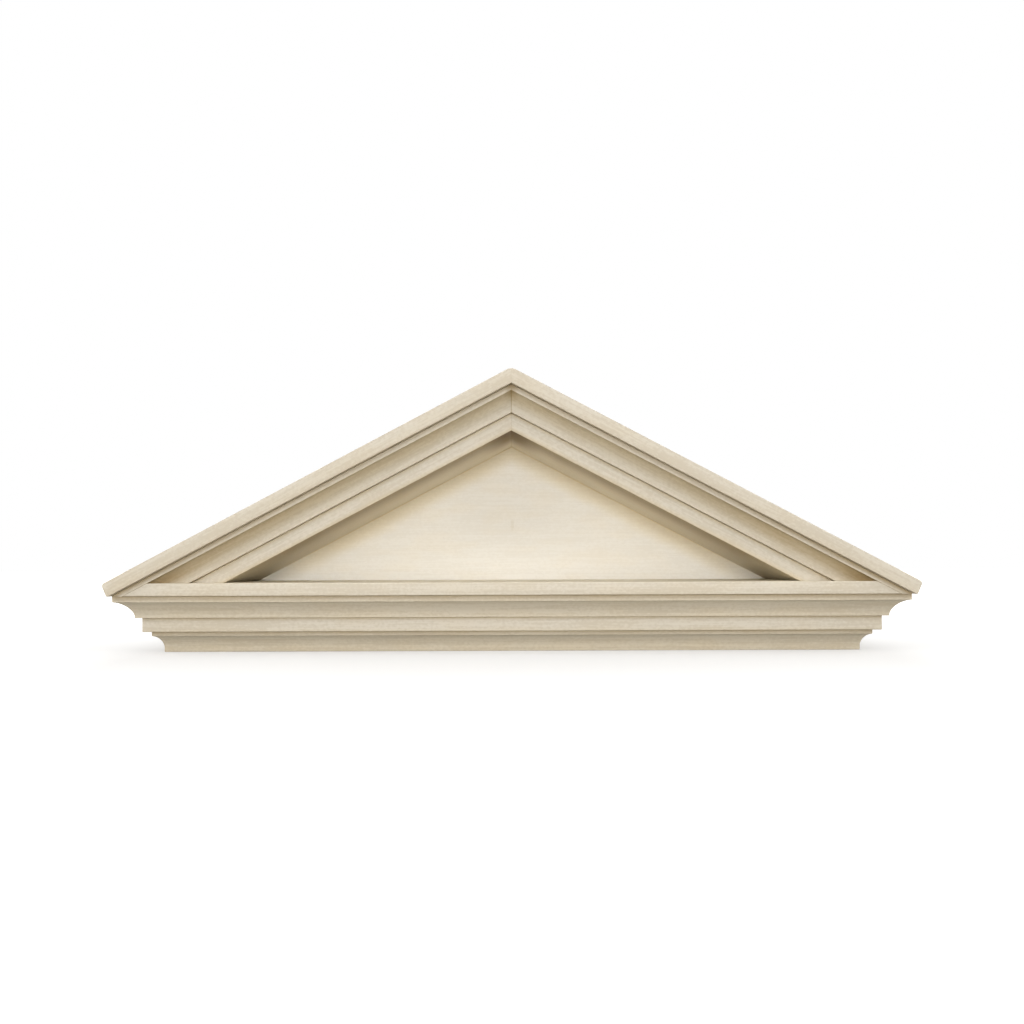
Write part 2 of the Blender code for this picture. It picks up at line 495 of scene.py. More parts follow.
@dataclass(frozen=True)
class CreamPaint:
    """Hand-brushed cream paint over fine-grained boards, with painted shade and painted light laid
    into its colour.

    Places across the recess are distances from the middle, and places into it are set-backs from
    the roof boards' front, both in metres.
    """

    name: str
    lie: Lie = Lie.LEVEL
    top: float = 0.0
    # The bands and strengths from here down to the knot lay painted light and shade into the
    # colour, all but the joint's dark seam line.
    quirks: tuple[Band, ...] = ()
    warm_shade: tuple[Band, ...] = ()
    painted_light: tuple[Band, ...] = ()
    joint: float = 0.0
    apex_shade: float = 0.0
    end_shade: float = 0.0
    recess_lit_from: float | None = None
    recess_lit: float = 1.0
    shaded_to: float | None = None
    lit_ends: float = 0.0
    soffit_shade: tuple[Band, ...] = ()
    knot: bool = False
    roughness: float = 0.56
    aged_light: Colour = (0.634, 0.582, 0.492)
    aged_dark: Colour = (0.571, 0.514, 0.418)
    # The next seven colours stand in for light and shade: the two paler paints for deeper in the
    # recess are painted light, the brown, the warm tint and the dark brown after them are painted
    # shade, and the last two creams are painted light.
    recess_lit_light: Colour = (0.886, 0.857, 0.790)
    recess_lit_dark: Colour = (0.850, 0.817, 0.744)
    shade_and_seam_brown: Colour = (0.59, 0.49, 0.32)
    warm_shade_tint: Colour = (0.93, 0.79, 0.48)
    peak_shade_brown: Colour = (0.38, 0.29, 0.17)
    lit_ends_cream: Colour = (0.90, 0.83, 0.67)
    painted_light_colour: Colour = (0.80, 0.74, 0.60)
    warm_tint: Colour = (1.0, 0.975, 0.93)
    knot_tint: Colour = (0.80, 0.76, 0.68)
    wood_light: Colour = (0.60, 0.44, 0.26)
    wood_dark: Colour = (0.40, 0.26, 0.13)

    # Layers of the grain, and the paint's relief and sheen.
    STREAKS = Grain(6.0, 250.0, 3.0, 0.6, tone=3.6, relief=0.55)
    CLOUDS = Grain(9.0, 24.0, 3.0, tone=1.9, dulling=0.16)
    BRISTLES = Grain(26.0, 760.0, 2.0, tone=2.2, relief=0.30, dulling=0.10)
    SPECKS = Grain(190.0, 250.0, 2.0, tone=3.2, relief=0.15)
    HUE = Grain(14.0, 38.0, 1.0, start=31.0)
    RINGS = Grain(2.2, 95.0, 4.0, 0.62)
    HALVES_APART = 3.7
    RELIEF_STRENGTH = 0.35
    RELIEF_HEIGHT = 0.0005
    SHEEN = 0.35

    # Warmer patches, and the recess's painted light and shade: paler paint deeper in, painted
    # shade near its front and at its peak, and painted light at its ends.
    WARMTH = Band(0.68, 0.42, 0.5)
    RECESS_LIT_FULL = 0.130
    WARM_SHADE_VARIES = 0.4
    PAINTED_LIGHT_VARIES = 0.8
    RECESS_FROM = 0.0412
    RECESS_SHADE_FULL = 0.040
    RECESS_SHADE_ASIDE = Band(0.30, 0.46, 0.56)
    PEAK_INTO = Band(0.10, 0.20, 1.0)
    PEAK_ASIDE = Band(0.004, 0.054, 0.95)
    LIT_ENDS_FROM = 0.34
    LIT_ENDS_FULL = 0.46
    SHADE_ASIDE = Band(0.33, 0.43, 0.7)

    # Painted shade in the quirks, in the raking hollows' lower ends and at the apex, and a dark
    # line along the joint at the apex.
    SHADE_MOST = 0.95
    SHADE_VARIES = 0.5
    END_SHADE_FROM = 0.25
    END_SHADE_FULL = 0.56
    END_HOLLOW_SHADE_FULL = 0.3
    END_HOLLOW_SHADE_ASIDE = (Band(0.56, 0.10, 0.40), Band(0.55, 0.47, 0.42))
    APEX_SHADE_HEIGHT = 0.014
    APEX_SHADE_FULL = 0.001
    APEX_SHADE_END = 0.013
    LINE_FULL = 0.0002
    LINE_END = 0.0011
    LINE_VARIES = 0.8
    LINE_LEAST = 0.5

    # The panel's knot, and the bare wood at the wall.
    KNOT_PLACE = (0.001, 0.206)
    KNOT_HALF = (0.0035, 0.011)
    KNOT_RAGGED = 1.2
    KNOT_FADE = Band(0.2, 1.1, 0.30)
    WOOD_RINGS = (0.32, 0.70)
    PAINT_ENDS = (0.0007, 0.0003)
    PAINT_RAGGED = 0.0008

    def material(self) -> bpy.types.Material:
        """Mix the paint.

        Returns:
            The material.
        """
        paints = PaintBench(self.name)
        x, y, z = paints.place()
        grain = self.grain_axes(x, y, z)
        set_back = y + SIZES.depth / 2
        layers = (self.STREAKS, self.CLOUDS, self.BRISTLES, self.SPECKS)
        noises = [paints.grain(layer, grain) for layer in layers]
        streaks, clouds = noises[:2]
        tone: Any = 0.5
        height: Any = 0.0
        rough: Any = self.roughness
        for layer, noise in zip(layers, noises):
            tone = (noise - 0.5) * layer.tone + tone
            if layer.relief:
                height = noise * layer.relief + height
            if layer.dulling:
                rough = (noise - 0.5) * layer.dulling + rough
        colour = paints.blend(tone, self.aged_dark, self.aged_light)
        # Paler paint deeper in the recess: painted light.
        if self.recess_lit_from is not None:
            lit_paint = paints.blend(tone, self.recess_lit_dark, self.recess_lit_light)
            inside = paints.ramp(set_back, self.recess_lit_from, self.RECESS_LIT_FULL)
            colour = paints.blend(inside * self.recess_lit, colour, lit_paint)
        warmth = paints.fade(paints.grain(self.HUE, grain), self.WARMTH)
        colour = paints.blend(warmth, colour, self.warm_tint, "MULTIPLY")
        # A warm tint where shade falls in the hollows and under the pieces above: painted warm
        # shade.
        if self.warm_shade:
            warm_shading = paints.fades(grain[1], self.warm_shade) * self.varied(clouds, self.WARM_SHADE_VARIES)
            colour = paints.blend(warm_shading, colour, self.warm_shade_tint, "MULTIPLY")
        # Painted shade near the recess's front and at its peak, and painted light at its ends.
        if self.shaded_to is not None or self.lit_ends:
            colour = self.shade_and_light_recess(paints, colour, abs(x), set_back)
        # Warm painted shade on the panel below the soffit.
        if self.soffit_shade:
            shade = self.under_soffit(paints, abs(x), z)
            colour = paints.blend(shade, colour, self.warm_shade_tint, "MULTIPLY")
        # Brown painted shade in the quirks, at the raking hollows' lower ends and at the apex, and
        # a dark seam line at the apex joint.
        shade_and_seam = self.shade_and_seam(paints, abs(x), grain[1], streaks, clouds)
        if shade_and_seam is not None:
            colour = paints.blend(shade_and_seam, colour, self.shade_and_seam_brown, "MULTIPLY")
        # Lighter paint on lit edges and hollows: painted light.
        if self.painted_light:
            light_mark = paints.fades(grain[1], self.painted_light) * self.varied(streaks, self.PAINTED_LIGHT_VARIES)
            colour = paints.blend(light_mark, colour, self.painted_light_colour)
        if self.knot:
            colour = self.add_knot(paints, colour, x, z, streaks)
        colour = self.add_bare_wood(paints, colour, grain, set_back, streaks)
        paints.feed(paints.shader.inputs["Base Color"], colour)
        paints.feed(paints.shader.inputs["Roughness"], rough)
        relief = {
            "Strength": self.RELIEF_STRENGTH,
            "Distance": self.RELIEF_HEIGHT,
            "Height": height,
        }
        bump = paints.node("ShaderNodeBump", None, relief)
        paints.feed(paints.shader.inputs["Normal"], bump.outputs[0])
        paints.feed(paints.shader.inputs["Specular IOR Level"], self.SHEEN)
        return paints.material

    def grain_axes(self, x: Wire, y: Wire, z: Wire) -> tuple[Wire, Wire, Wire]:
        """Turn a point's place into its run along the grain, its drop and its way out."""
        if self.lie is Lie.RETURN:
            return y, self.top - z, x
        if self.lie is Lie.LEVEL:
            return x, self.top - z, y
        below, aside = self.top - z, abs(x)
        cosine, sine = math.cos(SIZES.pitch), math.sin(SIZES.pitch)
        right = x.bench.maths("GREATER_THAN", x, 0.0)
        run = aside * cosine + below * sine + right * self.HALVES_APART
        return run, below * cosine - aside * sine, y

    @staticmethod
    def varied(noise: Wire, amount: float) -> Wire:
        """A factor about one that follows a noise."""
        return noise * amount + (1.0 - amount / 2)

    def shade_and_light_recess(
        self, paints: PaintBench, colour: bpy.types.NodeSocket, aside: Wire, set_back: Wire
    ) -> bpy.types.NodeSocket:
        """Paint shade on the recess behind the raking corona and at its peak, and paint light on
        its ends.

        Args:
            paints: The bench that the nodes are laid on.
            colour: The colour so far.
            aside: Distance from the middle of the width.
            set_back: Set-back from the roof boards' front.

        Returns:
            The new colour.
        """
        behind = paints.maths("GREATER_THAN", set_back, self.RECESS_FROM)
        if self.shaded_to is not None:
            front_shade = paints.ramp(set_back, self.shaded_to, self.RECESS_SHADE_FULL)
            front_shade = paints.fade(aside, self.RECESS_SHADE_ASIDE) * front_shade
            colour = paints.blend(front_shade * behind, colour, self.shade_and_seam_brown, "MULTIPLY")
            peak = paints.fade(set_back, self.PEAK_INTO) * paints.fade(aside, self.PEAK_ASIDE)
            colour = paints.blend(peak * behind, colour, self.peak_shade_brown, "MULTIPLY")
        # Lighter paint towards the recess's ends: painted light.
        if self.lit_ends:
            ends = paints.fade(aside, Band(self.LIT_ENDS_FULL, self.LIT_ENDS_FROM, self.lit_ends))
            colour = paints.blend(ends * behind, colour, self.lit_ends_cream)
        return colour

    def under_soffit(self, paints: PaintBench, aside: Wire, z: Wire) -> Wire:
        """How strong the warm painted shade is on the panel below the soffit, weaker towards its
        ends.
        """
        cosine, sine = math.cos(SIZES.pitch), math.sin(SIZES.pitch)
        below = (SIZES.under_apex - z) * cosine - aside * sine - SIZES.soffit_drop
        middle = paints.fade(aside, self.SHADE_ASIDE) + (1.0 - self.SHADE_ASIDE.strength)
        return paints.fades(below, self.soffit_shade) * middle

    def shade_and_seam(
        self, paints: PaintBench, aside: Wire, drop: Wire, streaks: Wire, clouds: Wire
    ) -> Wire | None:
        """Where the painted shade and the joint's dark line lie, from 0 to 1, or None where there
        are none.
        """
        total = paints.fades(drop, self.quirks)
        cove = SIZES.rake_cove
        # Painted shade, darker towards the raking hollows' lower ends.
        if self.end_shade:
            ends = Band(self.END_SHADE_FULL, self.END_SHADE_FROM, self.end_shade)
            total = total * (paints.fade(aside, ends) + 1.0)
            full = cove.fillet + cove.height * self.END_HOLLOW_SHADE_FULL
            hollow = paints.ramp(drop, cove.total, full)
            hollow = hollow * paints.ramp(drop, cove.fillet - HOLLOW_EDGE, cove.fillet)
            total = paints.fades(aside, self.END_HOLLOW_SHADE_ASIDE) * hollow + total
        # Painted shade in the hollow's upper part at the apex.
        if self.apex_shade:
            high = paints.ramp(drop, cove.fillet + self.APEX_SHADE_HEIGHT, cove.fillet)
            spot = paints.fade(aside, Band(self.APEX_SHADE_FULL, self.APEX_SHADE_END, self.apex_shade))
            total = spot * high + total
        if self.joint:
            line = paints.fade(aside, Band(self.LINE_FULL, self.LINE_END, self.joint))
            total = line * (streaks * self.LINE_VARIES + self.LINE_LEAST) + total
        if not isinstance(total, Wire):
            return None
        total = total * self.varied(clouds, self.SHADE_VARIES)
        return paints.maths("MINIMUM", total, self.SHADE_MOST)

    def add_knot(
        self,
        paints: PaintBench,
        colour: bpy.types.NodeSocket,
        x: Wire,
        z: Wire,
        streaks: Wire,
    ) -> bpy.types.NodeSocket:
        """Let one small upright knot ghost through the panel's paint."""
        aside = (x - self.KNOT_PLACE[0]) / self.KNOT_HALF[0]
        above = (z - self.KNOT_PLACE[1]) / self.KNOT_HALF[1]
        away = aside * aside + above * above + (streaks - 0.5) * self.KNOT_RAGGED
        ghost = paints.fade(away, self.KNOT_FADE)
        return paints.blend(ghost, colour, self.knot_tint, "MULTIPLY")

    def add_bare_wood(
        self,
        paints: PaintBench,
        colour: bpy.types.NodeSocket,
        grain: tuple[Wire, Wire, Wire],
        set_back: Wire,
        streaks: Wire,
    ) -> bpy.types.NodeSocket:
        """Leave the side against the wall unpainted, with a ragged edge to the paint."""
        rings = paints.ramp(paints.grain(self.RINGS, grain), *self.WOOD_RINGS)
        wood = paints.blend(rings, self.wood_dark, self.wood_light)
        ragged = set_back + (streaks - 0.5) * self.PAINT_RAGGED
        bare = paints.ramp(ragged, *(SIZES.depth - short for short in self.PAINT_ENDS))
        return paints.blend(bare, colour, wood)


class Joinery:
    """Base of the sub-assemblies: finishing a piece and handing it to the frame."""

    slot = "boards"

    @classmethod
    def hand_over(cls, piece: bpy.types.Object, node: str, paint: CreamPaint) -> bpy.types.Object:
        """Dress a finished piece and let it stand for its CAD node.

        Args:
            piece: The finished piece.
            node: Name of the CAD node that it stands for.
            paint: Its paint.

        Returns:
            The piece.
        """
        Bench.smooth(piece)
        piece.data.materials.clear()
        piece.data.materials.append(paint.material())
        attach(piece, "root")
        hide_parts(node)
        LOG.info("%s stands for %s with %d faces", piece.name, node, len(piece.data.polygons))
        return piece


@dataclass
class Moulding(Joinery):
    """A run of moulding, shaped from a squared length of stock."""

    section: HollowSizes
    steps: int = 32
    quirks: tuple[Band, ...] = ()
    warm_shade: tuple[Band, ...] = ()
    painted_light: tuple[Band, ...] = ()
    slot = "mouldings"
    ARRIS = SIZES.arris * 0.8
    FORWARD = -0.9

    def run(self, name: str) -> bpy.types.Object:
        """Shape a long run that lies along X with its fillet's top front edge on the origin.

        Args:
            name: Name of the piece.

        Returns:
            The run, its back towards +Y.
        """
        cut = self.section
        stretch = cut.height / cut.depth
        half = Bench.LONG / 2
        piece = Bench.block(
            name, (-half, cut.depth, -cut.total / stretch), (half, cut.stock, 0.0)
        )
        shelf = -cut.fillet / stretch
        self.push_out_fillet(piece, shelf, cut.depth)
        profile = 2.0 ** (-2.0 / cut.roundness)
        inner = self.edge_at(cut.depth, shelf)
        Bench.round_edges(piece, inner, cut.depth, self.steps, profile)
        piece.scale.z = stretch
        Bench.settle(piece)
        for set_back, level in ((0.0, 0.0), (0.0, -cut.fillet), (cut.depth, -cut.total)):
            Bench.round_edges(piece, self.edge_at(set_back, level), self.ARRIS)
        return piece

    @staticmethod
    def edge_at(set_back: float, level: float) -> EdgeTest:
        """A test for the long edge at a set-back and a level."""
        return lambda a, b: all(
            abs(end.y - set_back) < NEAR and abs(end.z - level) < NEAR for end in (a, b)
        )

    @classmethod
    def push_out_fillet(cls, piece: bpy.types.Object, shelf: float, depth: float) -> None:
        """Divide the stock's front at the shelf and draw the upper strip forward."""
        Bench.take(piece)
        bpy.ops.object.mode_set(mode="EDIT")
        bpy.ops.mesh.select_all(action="SELECT")
        bpy.ops.mesh.bisect(plane_co=(0.0, 0.0, shelf), plane_no=(0.0, 0.0, 1.0))
        bpy.ops.mesh.select_all(action="DESELECT")
        bpy.ops.mesh.select_mode(type="FACE")
        mesh = bmesh.from_edit_mesh(piece.data)
        for face in mesh.faces:
            forward = face.normal.y < cls.FORWARD
            face.select_set(forward and face.calc_center_median().z > shelf)
        bmesh.update_edit_mesh(piece.data)
        bpy.ops.mesh.extrude_region_move(TRANSFORM_OT_translate={"value": (0.0, -depth, 0.0)})
        bpy.ops.object.mode_set(mode="OBJECT")


@dataclass
class LevelMoulding(Moulding):
    """A level moulding in three mitred pieces: the front and a return at each end."""

    name: str = "moulding"
    step: float = 0.0
    top: float = 0.0

    def make(self) -> None:
        """Make the front run and both returns."""
        corner = SIZES.eave_half - self.step
        front = SIZES.front_y(SIZES.level_setback + self.step)
        piece = self.run(f"painted_{self.name}_front")
        Bench.lay(piece, (0.0, front, self.top), (0.0, 0.0, 0.0))
        for side in (-1, 1):
            Bench.cut(piece, (side * corner, front, 0.0), (side, 1.0, 0.0))
        self.finish(piece, f"{self.name}_front", Lie.LEVEL)
        for side, word in ((-1, "left"), (1, "right")):
            piece = self.run(f"painted_{self.name}_{word}")
            Bench.lay(piece, (side * corner, 0.0, self.top), (0.0, 0.0, side * math.pi / 2))
            Bench.cut(piece, (side * corner, front, 0.0), (-side, -1.0, 0.0))
            Bench.cut(piece, (0.0, SIZES.depth / 2, 0.0), (0.0, 1.0, 0.0))
            self.finish(piece, f"{self.name}_{word}", Lie.RETURN)

    def finish(self, piece: bpy.types.Object, node: str, lie: Lie) -> None:
        """Paint one piece and hand it over."""
        paint = CreamPaint(
            name=f"cream_{node}",
            lie=lie,
            top=self.top,
            quirks=self.quirks,
            warm_shade=self.warm_shade,
            painted_light=self.painted_light,
        )
        self.hand_over(piece, node, paint)


@dataclass
class RakingCoves(Moulding):
    """The coves under the roof boards, their fillets running on over the base board."""

    def make(self, base_board: bpy.types.Object) -> None:
        """Make the left and right coves.

        Args:
            base_board: The base board, which the coves are notched over.
        """
        for side, word in ((-1, "left"), (1, "right")):
            node = f"raking_cove_{word}"
            piece = self.run(f"painted_{node}")
            place = (0.0, SIZES.front_y(SIZES.rake_reveal), SIZES.under_apex)
            Bench.lay(piece, place, (0.0, side * SIZES.pitch, 0.0))
            Bench.cut(piece, (0.0, 0.0, 0.0), (-side, 0.0, 0.0))
            Bench.cut(piece, (0.0, 0.0, SIZES.base_bottom), (0.0, 0.0, -1.0))
            Bench.subtract(piece, base_board)
            # Painted shade darker towards the coves' lower ends and in their hollows at the apex,
            # and a dark seam line at the apex.
            paint = CreamPaint(
                name=f"cream_{node}",
                lie=Lie.RAKING,
                top=SIZES.under_apex,
                quirks=self.quirks,
                warm_shade=self.warm_shade,
                painted_light=self.painted_light,
                joint=0.75,
                apex_shade=0.60,
                end_shade=0.7,
            )
            self.hand_over(piece, node, paint)


class BaseBoard(Joinery):
    """The level board whose front edge is the band between the two cornices."""

    SEAM = 0.0002

    def make(self) -> bpy.types.Object:
        """Saw the board, bevel its ends to the rake and ease its arrises."""
        half = SIZES.span / 2
        board = Bench.block(
            "painted_base_board",
            (-half, SIZES.front_y(SIZES.rake_reveal), SIZES.base_bottom),
            (half, SIZES.front_y(SIZES.panel_setback), SIZES.base_top),
        )
        sine, cosine = math.sin(SIZES.pitch), math.cos(SIZES.pitch)
        level = SIZES.under_apex - (SIZES.rake_cove.fillet + self.SEAM) / cosine
        for side in (-1, 1):
            Bench.cut(board, (0.0, 0.0, level), (side * sine, 0.0, cosine))
        Bench.round_edges(board, long_edge(SIZES.front_y(SIZES.rake_reveal)), SIZES.arris)
        # Painted shade along the band's lower edge, a painted highlight along its top edge and
        # painted light at the shelf's ends.
        paint = CreamPaint(
            name="cream_base_board",
            top=SIZES.base_top,
            quirks=(
                Band(SIZES.base_board, SIZES.base_board - 0.0016, 0.40),
                Band(SIZES.base_board, 0.002, 0.05),
            ),
            painted_light=(Band(0.0, 0.0014, 0.45),),
            lit_ends=0.85,
        )
        return self.hand_over(board, "base_board", paint)


class CoronaBoard(Joinery):
    """The board whose front edge is the corona of the level cornice."""

    def make(self) -> None:
        """Saw the board and ease its arrises."""
        half = SIZES.eave_half - SIZES.corona_step
        front = SIZES.front_y(SIZES.level_setback + SIZES.corona_step)
        back = SIZES.depth / 2
        board = Bench.block(
            "painted_corona_board",
            (-half, front, SIZES.bed.total),
            (half, back, SIZES.corona_top),
        )
        on_back = on_depth(back)
        Bench.round_edges(board, lambda a, b: not on_back(a, b), SIZES.arris)
        # Painted shade and warm painted shade along the corona's top under the cove's foot, and
        # along its lower edge.
        paint = CreamPaint(
            name="cream_corona_board",
            top=SIZES.corona_top,
            quirks=(
                Band(0.0, 0.0060, 0.32),
                Band(0.0, 0.0016, 0.40),
                Band(SIZES.level_corona, SIZES.level_corona - 0.0014, 0.35),
            ),
            warm_shade=(
                Band(0.0, 0.0070, 0.26),
                Band(SIZES.level_corona, SIZES.level_corona - 0.0080, 0.16),
            ),
        )
        self.hand_over(board, "corona_board", paint)


class RoofBoards(Joinery):
    """The two boards over the gable, mitred and rounded at the apex."""

    RIDGE_CUTS = 5
    NOSE_STEPS = 6
    NOSE_NEAR = 1e-4
    CORNER_EASE = 0.0008

    def make(self) -> None:
        """Saw each board, shape its lower end and its ridge, and ease its front arrises."""
        front, back = SIZES.front_y(0.0), SIZES.front_y(SIZES.depth)
        on_front = on_depth(front)
        half = Bench.LONG / 2
        for side, word in ((-1, "left"), (1, "right")):
            node = f"roof_board_{word}"
            board = Bench.block(
                f"painted_{node}", (-half, front, -SIZES.roof_board), (half, back, 0.0)
            )
            Bench.lay(board, (0.0, 0.0, SIZES.apex), (0.0, side * SIZES.pitch, 0.0))
            Bench.cut(board, (0.0, 0.0, 0.0), (-side, 0.0, 0.0))
            self.shape_eave(board, side)
            self.round_ridge(board, side)
            Bench.round_edges(
                board,
                lambda a, b: on_front(a, b) and not (a.x == 0.0 and b.x == 0.0),
                SIZES.arris,
            )
            # The roof boards' paint is a hair darker than the other boards': painted shade, with
            # more painted shade along their lower edge.
            paint = CreamPaint(
                name=f"cream_{node}",
                aged_light=(0.628, 0.579, 0.491),
                aged_dark=(0.569, 0.513, 0.420),
                lie=Lie.RAKING,
                top=SIZES.apex,
                quirks=(
                    Band(SIZES.roof_board, SIZES.roof_board - 0.0014, 0.25),
                    Band(SIZES.roof_board, 0.001, 0.06),
                ),
                warm_shade=(Band(SIZES.roof_board, 0.0, 0.10),),
                joint=0.07,
            )
            self.hand_over(board, node, paint)

    @classmethod
    def shape_eave(cls, board: bpy.types.Object, side: int) -> None:
        """Cut the lower end level underneath and back at its end, and round its nose."""
        Bench.cut(board, (0.0, 0.0, SIZES.base_bottom), (0.0, 0.0, -1.0))
        corner = (side * SIZES.eave_half, 0.0, SIZES.base_bottom)
        off = (side * math.cos(SIZES.end_cut), 0.0, -math.sin(SIZES.end_cut))
        Bench.cut(board, corner, off)
        slope = math.tan(SIZES.pitch)
        fall = SIZES.apex - SIZES.eave_half * slope - SIZES.base_bottom
        rise = fall / (1 + math.tan(SIZES.end_cut) * slope)
        nose = SIZES.eave_half + rise * math.tan(SIZES.end_cut)
        corner_angle = math.pi / 2 + SIZES.pitch - SIZES.end_cut
        width = SIZES.end_round / math.tan(corner_angle / 2)
        corners = (
            (nose, SIZES.base_bottom + rise, width),
            (SIZES.eave_half, SIZES.base_bottom, cls.CORNER_EASE),
        )
        for x, z, reach in corners:
            Bench.round_edges(
                board,
                lambda a, b: all(
                    abs(abs(end.x) - x) < cls.NOSE_NEAR and abs(end.z - z) < cls.NOSE_NEAR
                    for end in (a, b)
                ),
                reach,
                cls.NOSE_STEPS,
            )

    @classmethod
    def round_ridge(cls, board: bpy.types.Object, side: int) -> None:
        """Plane the ridge round with narrow flats."""
        centre = SIZES.apex - SIZES.apex_round / math.cos(SIZES.pitch)
        for number in range(cls.RIDGE_CUTS):
            lean = SIZES.pitch * (number + 0.5) / cls.RIDGE_CUTS
            off = Vector((side * math.sin(lean), 0.0, math.cos(lean)))
            Bench.cut(board, Vector((0.0, 0.0, centre)) + off * SIZES.apex_round, off)


class SoffitBoards(Joinery):
    """The boards whose front edges are the raking corona and whose undersides are the soffit."""

    def make(self) -> None:
        """Saw both boards to their mitre and their level foot, and ease their front arrises."""
        half = Bench.LONG / 2
        top, bottom = SIZES.rake_cove.total, SIZES.soffit_drop
        front, back = SIZES.front_y(SIZES.soffit_setback), SIZES.front_y(SIZES.panel_setback)
        for side, word in ((-1, "left"), (1, "right")):
            node = f"soffit_board_{word}"
            board = Bench.block(f"painted_{node}", (-half, front, -bottom), (half, back, -top))
            Bench.round_edges(board, long_edge(front), SIZES.arris)
            Bench.lay(board, (0.0, 0.0, SIZES.under_apex), (0.0, side * SIZES.pitch, 0.0))
            Bench.cut(board, (0.0, 0.0, 0.0), (-side, 0.0, 0.0))
            Bench.cut(board, (0.0, 0.0, SIZES.base_top), (0.0, 0.0, -1.0))
            # Painted shade along the soffit's edges and near its front, and paler paint deeper in
            # and at its ends as painted light.
            paint = CreamPaint(
                name=f"cream_{node}",
                lie=Lie.RAKING,
                top=SIZES.under_apex,
                quirks=(
                    Band(top, top + 0.0016, 0.40),
                    Band(top, top + 0.0060, 0.12),
                    Band(bottom, bottom - 0.0050, 0.08),
                ),
                joint=0.25,
                warm_shade=(Band(top, top + 0.0070, 0.35), Band(bottom, bottom - 0.0080, 0.34)),
                recess_lit_from=0.050,
                recess_lit=0.95,
                shaded_to=0.175,
                lit_ends=0.65,
            )
            self.hand_over(board, node, paint)


class TympanumPanel(Joinery):
    """The flat panel that closes the back of the gable."""

    slot = "panel"

    def make(self) -> None:
        """Saw the triangle."""
        half = SIZES.span / 2
        panel = Bench.block(
            "painted_tympanum_panel",
            (-half, SIZES.front_y(SIZES.panel_setback), SIZES.base_bottom),
            (half, SIZES.front_y(SIZES.depth), SIZES.under_apex),
        )
        sine, cosine = math.sin(SIZES.pitch), math.cos(SIZES.pitch)
        for side in (-1, 1):
            Bench.cut(panel, (0.0, 0.0, SIZES.under_apex), (side * sine, 0.0, cosine))
        # Paler paint as painted light, and warm painted shade below the soffit.
        paint = CreamPaint(
            name="cream_tympanum_panel",
            top=SIZES.base_top,
            recess_lit_from=0.100,
            soffit_shade=(
                Band(0.0006, 0.0018, 0.34),
                Band(0.004, 0.038, 0.34),
                Band(0.014, 0.034, 0.10),
            ),
            knot=True,
            roughness=0.62,
        )
        self.hand_over(panel, "tympanum_panel", paint)


@dataclass(frozen=True)
class SoftBox:
    """A soft box that faces the pediment.

    Angles are in degrees: the azimuth is seen from the front and goes to the right, and the
    elevation goes up from the pediment's middle.
    """

    name: str
    azimuth: float
    elevation: float
    width: float
    height: float
    glow: float
    tint: Colour = (1.0, 1.0, 1.0)
    distance: float = 3.5
    aim: tuple[float, float, float] = (0.0, -0.05, 0.2)

    def make(self) -> None:
        """Hang the box."""
        data = bpy.data.lights.new(self.name, "AREA")
        data.shape = "RECTANGLE"
        data.size, data.size_y = self.width, self.height
        data.energy = math.pi * self.width * self.height * self.glow
        data.color = self.tint
        light = bpy.data.objects.new(self.name, data)
        bpy.context.scene.collection.objects.link(light)
        rise, turn = math.radians(self.elevation), math.radians(self.azimuth)
        level = math.cos(rise)
        way = Vector((level * math.sin(turn), -level * math.cos(turn), math.sin(rise)))
        light.location = Vector(self.aim) + way * self.distance
        light.rotation_euler = (math.pi / 2 - rise, 0.0, turn)
        light.visible_camera = False


